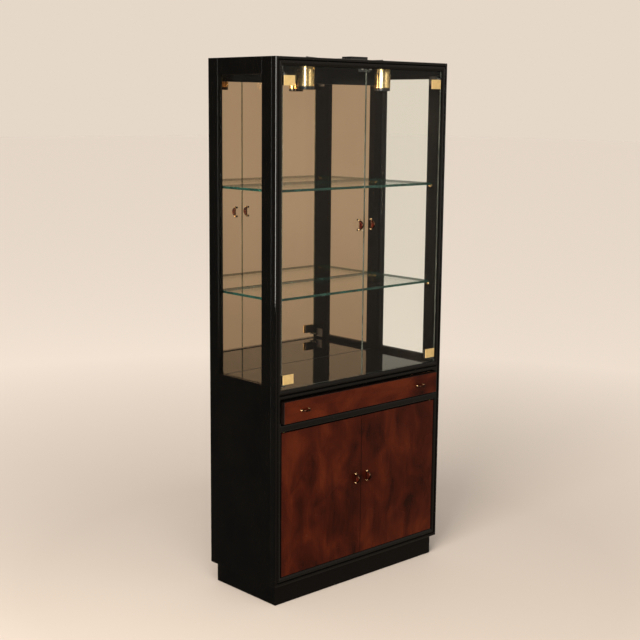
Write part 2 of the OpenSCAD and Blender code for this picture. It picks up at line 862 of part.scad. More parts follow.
// Double magnetic catches: one behind the top of the glass doors, one above the lower doors
module door_catches() {
    catch_half = 24;
    catch_h = 12;
    magnet_gap = 1;
    wood_back_y = wood_y + wood_door_t + magnet_gap;
    color("dimgray") {
        block([-catch_half, glass_rear_y + magnet_gap, top_rail_z - catch_h],
            [catch_half, frame_back_y, top_rail_z]);
        block([-catch_half, wood_back_y, drawer_rail_z - catch_h],
            [catch_half, frame_back_y + 12, drawer_rail_z]);
        block([-catch_half, frame_back_y, drawer_rail_z - 1],
            [catch_half, frame_back_y + 12, divider_z]);
    }
}

plinth_front();
plinth_back();
plinth_cross_boards();
side_panel_left();
side_panel_right();
front_window_uprights();
rear_window_uprights();
window_heads();
bottom_panel();
divider_panel();
display_deck();
top_panel();
back_panel();
back_header();
stile_left();
stile_right();
top_rail();
waist_rail();
drawer_rail();
bottom_rail();
front_posts();
rear_posts();
back_mirror();
side_glass_left();
side_glass_right();
glass_beads();
glass_shelf_upper();
glass_shelf_lower();
shelf_pins();
cabinet_shelf();
can_shells();
can_baffles();
lamp_sockets();
lamp_bulbs();
can_stems();
wiring_box();
light_leads();
hinge_arms();
door_pivot_pins();
drawer_runners();
door_catches();
glass_door_left();
left_hinge_plates();
left_hinge_clamps();
left_glass_pull();
glass_door_right();
right_hinge_plates();
right_hinge_clamps();
right_glass_pull();
drawer_front();
drawer_sides();
drawer_back();
drawer_bottom();
drawer_pulls();
wood_door_left();
left_wood_pull();
wood_door_right();
right_wood_pull();
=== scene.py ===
"""Looks of a lacquered display cabinet with glass doors, a drawer and veneered lower doors.

Every piece stands in the cabinet's own frame, in metres: X along the width, the front towards
-Y and Z up from the floor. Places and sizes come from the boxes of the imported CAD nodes.
"""

import logging
import math
from dataclasses import dataclass, field
from enum import Enum
from typing import Callable, Dict, List, Optional, Sequence, Tuple, Union

import bmesh
import bpy
from mathutils import Matrix, Vector


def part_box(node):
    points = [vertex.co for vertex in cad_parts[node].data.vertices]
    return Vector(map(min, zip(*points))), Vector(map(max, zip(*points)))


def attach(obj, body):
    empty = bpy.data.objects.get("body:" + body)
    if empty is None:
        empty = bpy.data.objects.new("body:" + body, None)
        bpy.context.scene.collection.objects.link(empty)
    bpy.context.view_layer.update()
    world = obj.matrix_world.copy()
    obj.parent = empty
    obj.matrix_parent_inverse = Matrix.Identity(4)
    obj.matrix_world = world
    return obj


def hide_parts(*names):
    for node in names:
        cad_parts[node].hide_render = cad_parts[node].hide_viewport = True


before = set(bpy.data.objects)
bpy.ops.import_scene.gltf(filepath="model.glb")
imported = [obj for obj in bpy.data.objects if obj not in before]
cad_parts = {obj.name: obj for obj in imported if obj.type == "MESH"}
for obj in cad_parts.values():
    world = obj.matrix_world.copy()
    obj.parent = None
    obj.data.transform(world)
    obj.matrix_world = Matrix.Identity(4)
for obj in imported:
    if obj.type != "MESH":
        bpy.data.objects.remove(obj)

LOG = logging.getLogger("display_cabinet")
MM = 0.001
Colour = Tuple[float, float, float]
Point = Tuple[float, float, float]


class Side(Enum):
    """Left or right of the cabinet's middle, seen from the front."""

    LEFT = -1
    RIGHT = 1


class Run(Enum):
    """Which way a grain or a pull runs."""

    UPRIGHT = "upright"
    ACROSS = "across"
    DEEP = "deep"


# ----------------------------------------------------------------------------- finishes


class Recipe:
    """The nodes of a material, or of the studio's surround, in the making."""

    def __init__(self, owner: Union[bpy.types.Material, bpy.types.World], output: str) -> None:
        """Starts with an output and the coordinates.

        Args:
            owner: What the nodes belong to.
            output: The output node's type.
        """
        self.owner = owner
        owner.use_nodes = True
        self.tree = owner.node_tree
        self.tree.nodes.clear()
        self.output = self.tree.nodes.new(output)
        self.coordinates = self.tree.nodes.new("ShaderNodeTexCoord").outputs

    @classmethod
    def material(cls, name: str) -> "Recipe":
        """Starts a new material."""
        return cls(bpy.data.materials.new(name), "ShaderNodeOutputMaterial")

    def node(self, kind: str, inputs: Optional[dict] = None, **settings: object) -> bpy.types.Node:
        """Adds a node, sets its properties, and links or sets its inputs.

        Args:
            kind: The node's type.
            inputs: Socket name or number to a value, or to an output socket to link.
            **settings: Properties of the node.

        Returns:
            The new node.
        """
        made = self.tree.nodes.new(kind)
        for key, value in settings.items():
            setattr(made, key, value)
        for key, value in (inputs or {}).items():
            if isinstance(value, bpy.types.NodeSocket):
                self.tree.links.new(value, made.inputs[key])
            else:
                made.inputs[key].default_value = value
        return made

    def mapped(self, scale: Point = (1, 1, 1)) -> bpy.types.NodeSocket:
        """Object coordinates, scaled along each axis."""
        return self.node("ShaderNodeMapping", {"Vector": self.coordinates["Object"],
                                               "Scale": scale}).outputs[0]

    def noise(self, vector: bpy.types.NodeSocket, scale: float, detail: float = 4.0,
              rough: float = 0.5, twist: float = 0.0) -> bpy.types.NodeSocket:
        """Cloudy noise.

        Args:
            vector: Where the pattern is read.
            scale: Spots per metre.
            detail: Finer layers.
            rough: Share of the finer layers.
            twist: Distortion of the spots.

        Returns:
            The noise's value socket.
        """
        return self.node("ShaderNodeTexNoise", {"Vector": vector, "Scale": scale, "Detail": detail,
                                                "Roughness": rough, "Distortion": twist}).outputs["Fac"]

    def ramp(self, factor: bpy.types.NodeSocket,
             stops: Sequence[Tuple[float, Colour]]) -> bpy.types.NodeSocket:
        """Colours along a factor.

        Args:
            factor: The value that picks the colour.
            stops: Positions with their colours, in order.

        Returns:
            The colour socket.
        """
        made = self.node("ShaderNodeValToRGB", {"Fac": factor})
        row = made.color_ramp.elements
        while len(row) < len(stops):
            row.new(0.5)
        for stop, (place, colour) in zip(row, stops):
            stop.position = place
            stop.color = (*colour, 1.0)
        return made.outputs["Color"]

    def span(self, value: bpy.types.NodeSocket, low: float, high: float,
             start: float = 0.3, stop: float = 0.7) -> bpy.types.NodeSocket:
        """Spreads a noise value over a range.

        Args:
            value: The value to spread.
            low: What start becomes.
            high: What stop becomes.
            start: Lowest value read.
            stop: Highest value read.

        Returns:
            The spread value's socket.
        """
        return self.node("ShaderNodeMapRange", {"Value": value, "From Min": start, "From Max": stop,
                                                "To Min": low, "To Max": high}).outputs[0]

    def math(self, operation: str, a: object, b: object) -> bpy.types.NodeSocket:
        """One sum on sockets or numbers."""
        return self.node("ShaderNodeMath", {0: a, 1: b}, operation=operation).outputs[0]

    def blend(self, factor: bpy.types.NodeSocket, a: object, b: object) -> bpy.types.NodeSocket:
        """Blends two colours.

        Args:
            factor: Share of the second colour.
            a: First colour or socket.
            b: Second colour or socket.

        Returns:
            The blended colour's socket.
        """
        first, second, result = 6, 7, 2
        a, b = ((*value, 1.0) if isinstance(value, tuple) else value for value in (a, b))
        made = self.node("ShaderNodeMix", data_type="RGBA")
        for number, value in ((0, factor), (first, a), (second, b)):
            if isinstance(value, bpy.types.NodeSocket):
                self.tree.links.new(value, made.inputs[number])
            else:
                made.inputs[number].default_value = value
        return made.outputs[result]

    def bump(self, height: bpy.types.NodeSocket, strength: float, depth: float) -> bpy.types.NodeSocket:
        """A bumped normal.

        Args:
            height: The height pattern.
            strength: Its share.
            depth: Its depth in metres.

        Returns:
            The normal socket.
        """
        return self.node("ShaderNodeBump", {"Height": height, "Strength": strength,
                                            "Distance": depth}).outputs["Normal"]

    def surface(self, base: bpy.types.NodeSocket, rough: object,
                more: dict) -> bpy.types.Material:
        """Finishes the material with one surface shader.

        Args:
            base: The base colour.
            rough: The roughness, as a socket or a number.
            more: Socket name to a value, or to an output socket to link.

        Returns:
            The material.
        """
        return self.done(self.node("ShaderNodeBsdfPrincipled", {
            "Base Color": base, "Roughness": rough, **more}))

    def done(self, shader: bpy.types.Node) -> Union[bpy.types.Material, bpy.types.World]:
        """Puts the shader on the output and returns the nodes' owner."""
        self.tree.links.new(shader.outputs[0], self.output.inputs["Surface"])
        return self.owner


@dataclass(frozen=True)
class Lacquer:
    """Black furniture lacquer with a fine ripple in its skin and faint rubbing marks."""

    name: str = "black_lacquer"
    deep: Colour = (0.0009, 0.0008, 0.0007)
    worn: Colour = (0.0017, 0.0015, 0.0012)
    gloss: Tuple[float, float] = (0.1, 0.14)
    level: float = 0.2
    peel: float = 0.05
    rub: float = 0.025

    def build(self) -> bpy.types.Material:
        """Builds the node material."""
        r = Recipe.material(self.name)
        cloud = r.noise(r.mapped(), 7.0, 5.0, 0.6, 0.4)
        streak = r.noise(r.mapped((40, 40, 3)), 6.0, 3.0)
        peel = r.noise(r.mapped(), 420.0, 2.0)
        colour = r.ramp(cloud, ((0.35, self.deep), (0.8, self.worn)))
        rough = r.math("ADD", r.span(cloud, *self.gloss), r.span(streak, -self.rub, self.rub))
        return r.surface(colour, rough, {"Specular IOR Level": self.level,
                                         "Normal": r.bump(peel, self.peel, 0.3 * MM)})


@dataclass(frozen=True)
class Veneer:
    """Dark red-brown figured veneer under a polished finish."""

    name: str = "figured_veneer"
    run: Run = Run.UPRIGHT
    dark: Colour = (0.0125, 0.0019, 0.001)
    middle: Colour = (0.034, 0.0044, 0.0017)
    light: Colour = (0.068, 0.0105, 0.0028)
    pore: Colour = (0.009, 0.0015, 0.001)
    # How far the tone moves towards the lighter colours; on the drawer this is painted light, for the
    # warm glow on its front.
    painted_glow: float = 0.0

    def build(self) -> bpy.types.Material:
        """Builds the node material."""
        r = Recipe.material(self.name)
        along = (34.0, 34.0, 2.6) if self.run is Run.UPRIGHT else (2.6, 34.0, 34.0)
        wavy = (8.5, 8.5, 4.2) if self.run is Run.UPRIGHT else (4.2, 8.5, 8.5)
        blotch = r.noise(r.mapped(wavy), 1.4, 3.0, 0.5, 0.7)
        patch = r.noise(r.mapped(), 4.2, 2.0, 0.5, 0.4)
        fibre = r.noise(r.mapped(along), 4.0, 6.0, 0.65, 0.3)
        fine = r.noise(r.mapped(tuple(6 * v for v in along)), 5.0, 3.0, 0.6)
        tone = r.math("ADD", r.math("MULTIPLY", blotch, 0.55), r.math("MULTIPLY", patch, 0.45))
        tone = r.math("ADD", tone, r.span(fibre, self.painted_glow - 0.03, self.painted_glow + 0.03))
        body = r.ramp(tone, ((0.36, self.dark), (0.5, self.middle), (0.66, self.light)))
        body = r.blend(r.span(fine, 0.0, 0.25, 0.56, 0.72), body, self.pore)
        return r.surface(body, r.span(patch, 0.22, 0.32), {
            "Specular IOR Level": 0.15, "Specular Tint": (1.0, 0.8, 0.6, 1.0),
            "Normal": r.bump(fine, 0.08, 0.2 * MM)})


@dataclass(frozen=True)
class PlainWood:
    """Straight-grained light wood for shelves, runners and the drawer box."""

    name: str = "plain_wood"
    run: Run = Run.ACROSS
    pale: Colour = (0.47, 0.31, 0.17)
    dark: Colour = (0.27, 0.155, 0.075)

    def build(self) -> bpy.types.Material:
        """Builds the node material."""
        r = Recipe.material(self.name)
        along = (2.0, 45.0, 45.0) if self.run is Run.ACROSS else (45.0, 2.0, 45.0)
        rings = r.noise(r.mapped(along), 1.2, 6.0, 0.6, 0.5)
        fibre = r.noise(r.mapped(tuple(5 * v for v in along)), 2.5, 4.0, 0.6)
        body = r.blend(r.span(fibre, 0.0, 0.3), r.ramp(rings, ((0.35, self.dark), (0.6, self.pale))),
                       self.dark)
        return r.surface(body, r.span(fibre, 0.42, 0.58), {"Normal": r.bump(fibre, 0.15, 0.3 * MM)})


@dataclass(frozen=True)
class Board:
    """Dark fibreboard with a fine fleck, for the back."""

    name: str = "fibreboard"
    base: Colour = (0.020, 0.015, 0.012)
    fleck: Colour = (0.055, 0.038, 0.026)

    def build(self) -> bpy.types.Material:
        """Builds the node material."""
        r = Recipe.material(self.name)
        grit = r.noise(r.mapped(), 260.0, 4.0, 0.7)
        body = r.ramp(grit, ((0.45, self.base), (0.8, self.fleck)))
        return r.surface(body, r.span(grit, 0.55, 0.75), {"Normal": r.bump(grit, 0.3, 0.4 * MM)})


@dataclass(frozen=True)
class Metal:
    """A metal with faint scratches and a slight tarnish."""

    name: str = "brass"
    bright: Colour = (0.92, 0.73, 0.40)
    dull: Colour = (0.62, 0.44, 0.19)
    rough: Tuple[float, float] = (0.12, 0.28)
    metallic: float = 1.0

    def build(self) -> bpy.types.Material:
        """Builds the node material."""
        r = Recipe.material(self.name)
        cloud = r.noise(r.mapped(), 55.0, 5.0, 0.6, 0.6)
        scratch = r.noise(r.mapped((900, 60, 900)), 1.0, 3.0)
        rough = r.math("ADD", r.span(cloud, *self.rough), r.span(scratch, -0.02, 0.04))
        return r.surface(r.ramp(cloud, ((0.42, self.bright), (0.85, self.dull))), rough, {
            "Metallic": self.metallic, "Normal": r.bump(scratch, 0.04, 0.1 * MM)})


@dataclass(frozen=True)
class Pane:
    """Clear flat glass: light goes straight through it, and it mirrors a little."""

    name: str = "clear_glass"
    tint: Colour = (0.982, 0.992, 0.98)
    least: float = 0.015
    rise: float = 0.6

    def build(self) -> bpy.types.Material:
        """Builds the node material."""
        r = Recipe.material(self.name)
        slope = r.node("ShaderNodeLayerWeight", {"Blend": 0.5}).outputs["Facing"]
        share = r.math("ADD", r.math("MULTIPLY", r.math("POWER", slope, 5.0), self.rise), self.least)
        smear = r.noise(r.mapped(), 9.0, 4.0, 0.6, 0.5)
        clear = r.node("ShaderNodeBsdfTransparent", {"Color": (*self.tint, 1)})
        shine = r.node("ShaderNodeBsdfAnisotropic", {
            "Color": (1, 1, 1, 1), "Roughness": r.span(smear, 0.004, 0.02)})
        return r.done(r.node("ShaderNodeMixShader", {0: share, 1: clear.outputs[0],
                                                     2: shine.outputs[0]}))


@dataclass(frozen=True)
class GlassEdge:
    """The polished green edge of plate glass."""

    name: str = "glass_edge"
    deep: Colour = (0.003, 0.017, 0.013)
    pale: Colour = (0.011, 0.05, 0.038)
    clear: float = 0.2
    through: Colour = (0.08, 0.2, 0.16)

    def build(self) -> bpy.types.Material:
        """Builds the node material."""
        r = Recipe.material(self.name)
        band = r.noise(r.mapped((3, 3, 3)), 6.0, 4.0, 0.6, 0.8)
        solid = r.node("ShaderNodeBsdfPrincipled", {
            "Base Color": r.ramp(band, ((0.3, self.deep), (0.62, self.pale))),
            "Roughness": r.span(band, 0.08, 0.2), "Specular IOR Level": 0.5})
        clear = r.node("ShaderNodeBsdfTransparent", {"Color": (*self.through, 1)})
        return r.done(r.node("ShaderNodeMixShader", {
            0: self.clear, 1: solid.outputs[0], 2: clear.outputs[0]}))


@dataclass(frozen=True)
class Silvering:
    """A bronze-tinted mirror with a faint ripple and a few dim spots."""

    name: str = "bronze_mirror"
    clean: Colour = (0.91, 0.65, 0.45)
    dim: Colour = (0.86, 0.6, 0.41)

    def build(self) -> bpy.types.Material:
        """Builds the node material."""
        r = Recipe.material(self.name)
        cloud = r.noise(r.mapped(), 3.0, 5.0, 0.6)
        ripple = r.noise(r.mapped(), 2.2, 1.0)
        return r.surface(r.ramp(cloud, ((0.4, self.clean), (0.9, self.dim))),
                         r.span(cloud, 0.008, 0.03),
                         {"Metallic": 1.0, "Normal": r.bump(ripple, 0.04, 2 * MM)})


@dataclass(frozen=True)
class Moulded:
    """Satin plastic, rubber, enamel or glazed ware, with a fine tooth."""

    name: str
    base: Colour
    rough: float = 0.45
    tooth: float = 300.0
    depth: float = 0.2 * MM
    coat: float = 0.0

    def build(self) -> bpy.types.Material:
        """Builds the node material."""
        r = Recipe.material(self.name)
        grit = r.noise(r.mapped(), self.tooth, 3.0, 0.6)
        cloud = r.noise(r.mapped(), 30.0, 4.0)
        lighter = tuple(min(1.0, 1.25 * v + 0.004) for v in self.base)
        return r.surface(r.ramp(cloud, ((0.35, self.base), (0.75, lighter))),
                         r.span(grit, self.rough - 0.06, self.rough + 0.08),
                         {"Coat Weight": self.coat, "Coat Roughness": 0.1,
                          "Normal": r.bump(grit, 0.15, self.depth)})


@dataclass(frozen=True)
class Resin:
    """Clouded dark red resin of the pulls' inlays."""

    name: str = "clouded_resin"
    dark: Colour = (0.012, 0.002, 0.001)
    glow: Colour = (0.075, 0.01, 0.004)

    def build(self) -> bpy.types.Material:
        """Builds the node material."""
        r = Recipe.material(self.name)
        cloud = r.noise(r.mapped(), 95.0, 4.0, 0.55, 1.4)
        return r.surface(r.ramp(cloud, ((0.38, self.dark), (0.7, self.glow))),
                         r.span(cloud, 0.22, 0.32),
                         {"Specular IOR Level": 0.3, "Coat Weight": 0.1, "Coat Roughness": 0.15})


LACQUER = Lacquer()
# Lighter, browner lacquer for the eased edges: partly rubbed wear, partly a painted highlight along the
# arrises.
RUBBED_HIGHLIGHT = Lacquer(name="rubbed_highlight_lacquer", deep=(0.0011, 0.001, 0.0008), worn=(0.006, 0.0045, 0.003),
                 gloss=(0.16, 0.26))
DECK_LACQUER = Lacquer(name="deck_lacquer", gloss=(0.004, 0.008), level=0.95,
                       peel=0.002, rub=0.002)
MOULDING = Lacquer(name="moulding_lacquer", gloss=(0.05, 0.08), level=0.34)
# Near-black brown for the edges and ends of the veneered fronts, darker than the veneer on their faces.
DARK_FRONT_EDGES = Lacquer(name="dark_front_edges", deep=(0.0025, 0.0012, 0.0009),
                       worn=(0.006, 0.003, 0.002), gloss=(0.3, 0.4))
DOOR_VENEER = Veneer()
# The drawer's veneer is a lighter copy of the doors': painted light for the warm glow on the drawer
# front.
DRAWER_VENEER = Veneer(name="figured_veneer_across", run=Run.ACROSS, painted_glow=0.06)
SHELF_WOOD = PlainWood()
BOX_WOOD = PlainWood(name="plain_wood_deep", run=Run.DEEP)
BACK_BOARD = Board()
BRASS = Metal()
CAN_BRASS = Metal(name="lacquered_brass", bright=(0.93, 0.70, 0.35), dull=(0.72, 0.48, 0.18),
                  rough=(0.2, 0.3))
PLATE_BRASS = Metal(name="brushed_brass", bright=(0.60, 0.43, 0.18), dull=(0.47, 0.32, 0.12),
                    rough=(0.3, 0.42), metallic=0.4)
# The pulls' bows and spines are painted near-black, a painted reflection of a dark room; their balls, of
# the same brass, are painted bright as painted highlights.
SHADED_BOW_BRASS = Metal(name="shaded_bow_brass", bright=(0.04, 0.019, 0.01), dull=(0.018, 0.009, 0.005),
                   rough=(0.07, 0.12))
HIGHLIT_BALLS = Metal(name="highlit_ball_brass", bright=(0.42, 0.28, 0.14), dull=(0.2, 0.12, 0.06),
                   rough=(0.1, 0.18))
ZINC = Metal(name="zinc_plate", bright=(0.55, 0.55, 0.53), dull=(0.36, 0.35, 0.32), rough=(0.25, 0.4))
PANE = Pane()
EDGE = GlassEdge()
DOOR_EDGE = GlassEdge(name="door_glass_edge", deep=(0.03, 0.034, 0.028),
                      pale=(0.125, 0.13, 0.11), clear=0.4, through=(0.5, 0.58, 0.5))
MIRROR = Silvering()
MIRROR_BACK = Moulded("mirror_back_paint", (0.05, 0.04, 0.03), 0.5)
BLACK_METAL = Moulded("black_enamel", (0.006, 0.006, 0.006), 0.35)
BLACK_PLASTIC = Moulded("black_plastic", (0.012, 0.012, 0.012), 0.5)
SHEATH = Moulded("cord_sheath", (0.008, 0.008, 0.008), 0.55)
GLAZE = Moulded("glazed_ware", (0.72, 0.68, 0.58), 0.2, coat=0.5)
FROST = Moulded("frosted_lamp", (0.85, 0.82, 0.74), 0.3, coat=0.3)
RESIN = Resin()


class Paintbox:
    """Builds each finish once."""

    def __init__(self) -> None:
        """Starts with no materials."""
        self.pots: Dict[str, bpy.types.Material] = {}

    def take(self, finish: object) -> bpy.types.Material:
        """The material of a finish.

        Args:
            finish: One of the finishes above.

        Returns:
            Its node material.
        """
        if finish.name not in self.pots:
            self.pots[finish.name] = finish.build()
        return self.pots[finish.name]


PAINTS = Paintbox()


# ------------------------------------------------------------------------------- shapes


class Shape:
    """A mesh in the making, with the few shop operations that the cabinet needs.

    A face that is broader than the limit below is shaded flat, so that it mirrors cleanly.
    """

    broad: float = 8 * MM

    def __init__(self) -> None:
        """Starts an empty mesh."""
        self.bm = bmesh.new()

    @classmethod
    def board(cls, low: Sequence[float], high: Sequence[float], ease: float) -> "Shape":
        """A board or plate with eased edges.

        Args:
            low: Lowest corner.
            high: Highest corner.
            ease: Width of the eased edge.

        Returns:
            The board.
        """
        made = cls()
        size = Vector(high) - Vector(low)
        bmesh.ops.create_cube(made.bm, size=1.0)
        bmesh.ops.scale(made.bm, vec=size, verts=made.bm.verts)
        bmesh.ops.translate(made.bm, vec=(Vector(low) + Vector(high)) / 2, verts=made.bm.verts)
        return made.eased(ease)

    @classmethod
    def from_node(cls, node: str, ease: float, steps: int = 2) -> "Shape":
        """A merged copy of a CAD node with eased edges.

        Args:
            node: The CAD node's name.
            ease: Width of the eased edges.
            steps: Facets across the eased edge.

        Returns:
            The copy.
        """
        made = cls()
        made.bm.from_mesh(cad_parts[node].data)
        bmesh.ops.remove_doubles(made.bm, verts=made.bm.verts, dist=1e-6)
        bmesh.ops.dissolve_limit(made.bm, angle_limit=math.radians(0.6), verts=made.bm.verts,
                                 edges=made.bm.edges)
        return made.eased(ease, steps)

    @classmethod
    def lathe(cls, profile: Sequence[Tuple[float, float]], steps: int = 48) -> "Shape":
        """A turned shape about Z.

        Args:
            profile: Radius and height of each point of the outline.
            steps: Facets round the axis.

        Returns:
            The turned shape, closed where its outline is.
        """
        made = cls()
        points = [made.bm.verts.new((radius, 0, height)) for radius, height in profile]
        edges = [made.bm.edges.new(pair) for pair in zip(points, points[1:])]
        bmesh.ops.spin(made.bm, geom=points + edges, cent=(0, 0, 0), axis=(0, 0, 1), dvec=(0, 0, 0),
                       angle=math.tau, steps=steps, use_merge=True, use_duplicate=False)
        bmesh.ops.remove_doubles(made.bm, verts=made.bm.verts, dist=1e-6)
        bmesh.ops.recalc_face_normals(made.bm, faces=made.bm.faces)
        return made

    @classmethod
    def ring_part(cls, radius: float, bar: float, start: float, sweep: float, steps: int = 32,
                  sides: int = 20) -> "Shape":
        """Part of a round-bar ring about X, in the plane X = 0.

        Args:
            radius: Radius of the ring's middle line.
            bar: Radius of the bar.
            start: Angle of its first end, from -Y towards +Z.
            sweep: How far it goes round.
            steps: Facets along it.
            sides: Facets round the bar.

        Returns:
            The ring part, with closed ends.
        """
        made = cls()
        ring = bmesh.ops.create_circle(made.bm, cap_ends=True, radius=bar, segments=sides)["verts"]
        bmesh.ops.translate(made.bm, vec=(0, -radius, 0), verts=ring)
        bmesh.ops.rotate(made.bm, cent=(0, 0, 0), matrix=Matrix.Rotation(-start, 3, "X"), verts=ring)
        bmesh.ops.spin(made.bm, geom=list(made.bm.faces) + list(made.bm.edges) + list(made.bm.verts),
                       cent=(0, 0, 0), axis=(1, 0, 0), dvec=(0, 0, 0), angle=-sweep, steps=steps,
                       use_merge=False, use_duplicate=False)
        bmesh.ops.remove_doubles(made.bm, verts=made.bm.verts, dist=1e-7)
        bmesh.ops.holes_fill(made.bm, edges=[e for e in made.bm.edges if e.is_boundary], sides=0)
        bmesh.ops.recalc_face_normals(made.bm, faces=made.bm.faces)
        return made

    @classmethod
    def tube(cls, route: Sequence[Vector], radius: float, sides: int = 16) -> "Shape":
        """A round tube along a route.

        Args:
            route: The points of its middle line.
            radius: Its radius.
            sides: Facets round it.

        Returns:
            The tube, with closed ends.
        """
        made = cls()
        heading = (route[1] - route[0]).normalized()
        turn = Vector((0, 0, 1)).rotation_difference(heading).to_matrix()
        verts = bmesh.ops.create_circle(made.bm, cap_ends=False, radius=radius, segments=sides)["verts"]
        bmesh.ops.rotate(made.bm, cent=(0, 0, 0), matrix=turn, verts=verts)
        bmesh.ops.translate(made.bm, vec=route[0], verts=verts)
        edges = list(made.bm.edges)
        for place, (a, b) in enumerate(zip(route, route[1:]), start=1):
            grown = bmesh.ops.extrude_edge_only(made.bm, edges=edges)["geom"]
            verts = [g for g in grown if isinstance(g, bmesh.types.BMVert)]
            edges = [g for g in grown if isinstance(g, bmesh.types.BMEdge)]
            bmesh.ops.translate(made.bm, vec=b - a, verts=verts)
            ahead = (route[min(place + 1, len(route) - 1)] - a).normalized()
            bmesh.ops.rotate(made.bm, cent=b, verts=verts,
                             matrix=heading.rotation_difference(ahead).to_matrix())
            heading = ahead
        bmesh.ops.holes_fill(made.bm, edges=[e for e in made.bm.edges if e.is_boundary], sides=0)
        bmesh.ops.recalc_face_normals(made.bm, faces=made.bm.faces)
        return made

    def eased(self, ease: float, steps: int = 2, above: float = 30.0) -> "Shape":
        """Rounds every edge that turns sharply, and gives the new strips the second finish.

        Args:
            ease: Width taken off each side of an edge.
            steps: Facets across the new strip.
            above: Least turn of an edge, in degrees.

        Returns:
            This shape.
        """
        sharp = [e for e in self.bm.edges
                 if len(e.link_faces) == 2 and e.calc_face_angle(0) > math.radians(above)]
        before = set(self.bm.faces)
        bmesh.ops.bevel(self.bm, geom=sharp, offset=ease, offset_type="OFFSET", affect="EDGES",
                        segments=steps, profile=0.5, clamp_overlap=True, material=-1)
        for face in self.bm.faces:
            if face not in before:
                face.material_index = 1
        return self

    def placed(self, matrix: Matrix) -> "Shape":
        """Moves the shape by a matrix, and turns it outside out again if that mirrored it."""
        bmesh.ops.transform(self.bm, matrix=matrix, verts=self.bm.verts)
        if matrix.determinant() < 0:
            bmesh.ops.reverse_faces(self.bm, faces=self.bm.faces)
        return self

    def at(self, x: float, y: float, z: float) -> "Shape":
        """Moves the shape."""
        return self.placed(Matrix.Translation((x, y, z)))

    def join(self, other: "Shape") -> "Shape":
        """Adds another shape's mesh to this one, and uses that one up."""
        carrier = bpy.data.meshes.new("carrier")
        other.bm.to_mesh(carrier)
        other.bm.free()
        self.bm.from_mesh(carrier)
        bpy.data.meshes.remove(carrier)
        return self

    def twin(self) -> "Shape":
        """Adds the shape's mirror image across the cabinet's middle."""
        copy = Shape()
        copy.bm = self.bm.copy()
        return self.join(copy.placed(Matrix.Scale(-1, 4, (1, 0, 0))))

    def paint(self, number: int, test: Callable[[bmesh.types.BMFace], bool]) -> "Shape":
        """Gives the faces that pass a test one of the piece's finishes.

        Args:
            number: Which finish.
            test: Whether a face takes it.

        Returns:
            This shape.
        """
        self.bm.normal_update()
        for face in self.bm.faces:
            if test(face):
                face.material_index = number
        return self

    def faced(self, test: Callable[[bmesh.types.BMFace], bool]) -> "Shape":
        """Gives the faces that pass a test the first finish, and every other face the second."""
        return self.paint(1, every_face).paint(0, test)

    def piece(self, name: str, body: str, slot: str, finishes: Sequence[object],
              stands_for: Sequence[str] = (), wholly: bool = False) -> bpy.types.Object:
        """Makes the shape a finished piece of the cabinet.

        Args:
            name: The piece's name.
            body: The CAD body that it moves with.
            slot: The name of its material slot; not used.
            finishes: Its finishes, in the order of its faces' numbers.
            stands_for: CAD nodes that it is shown for.
            wholly: Whether every broad face takes the first finish.

        Returns:
            The piece's object.
        """
        for face in self.bm.faces:
            face.smooth = 2 * face.calc_area() < self.broad * face.calc_perimeter()
            if not face.smooth and wholly:
                face.material_index = 0
            face.material_index = min(face.material_index, len(finishes) - 1)
        for edge in self.bm.edges:
            edge.smooth = len(edge.link_faces) == 2 and edge.calc_face_angle(0) < math.radians(48)
        mesh = bpy.data.meshes.new(name)
        self.bm.to_mesh(mesh)
        self.bm.free()
        for finish in finishes:
            mesh.materials.append(PAINTS.take(finish))
        made = bpy.data.objects.new(name, mesh)
        bpy.context.scene.collection.objects.link(made)
        weighted = made.modifiers.new("even_shading", "WEIGHTED_NORMAL")
        weighted.keep_sharp = True
        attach(made, body)
        if stands_for:
            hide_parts(*stands_for)
        LOG.info("%s rides on %s, %d faces", name, body, len(mesh.polygons))
        return made


def every_face(face: bmesh.types.BMFace) -> bool:
    """A test that every face passes."""
    return True


def flat_faces(axis: int) -> Callable[[bmesh.types.BMFace], bool]:
    """A test for the broad faces of a sheet that is thin along an axis."""
    return lambda face: abs(face.normal[axis]) > 0.99


def middle(node: str) -> Vector:
    """The middle of a CAD node's box."""
    low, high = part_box(node)
    return (low + high) / 2


def smooth_route(points: Sequence[Point], between: int = 6) -> List[Vector]:
    """A smooth route through points.

    Args:
        points: The points, in metres.
        between: Steps from one point to the next.

    Returns:
        The route's points.
    """
    p = [Vector(q) for q in points]
    p = [2 * p[0] - p[1], *p, 2 * p[-1] - p[-2]]
    route = []
    for a, b, c, d in zip(p, p[1:], p[2:], p[3:]):
        for i in range(between):
            t = i / between
            route.append(0.5 * (2 * b + (c - a) * t + (2 * a - 5 * b + 4 * c - d) * t * t
                                + (3 * b - a - 3 * c + d) * t ** 3))
    return route + [p[-2]]


# ------------------------------------------------------------------------- sub-assemblies


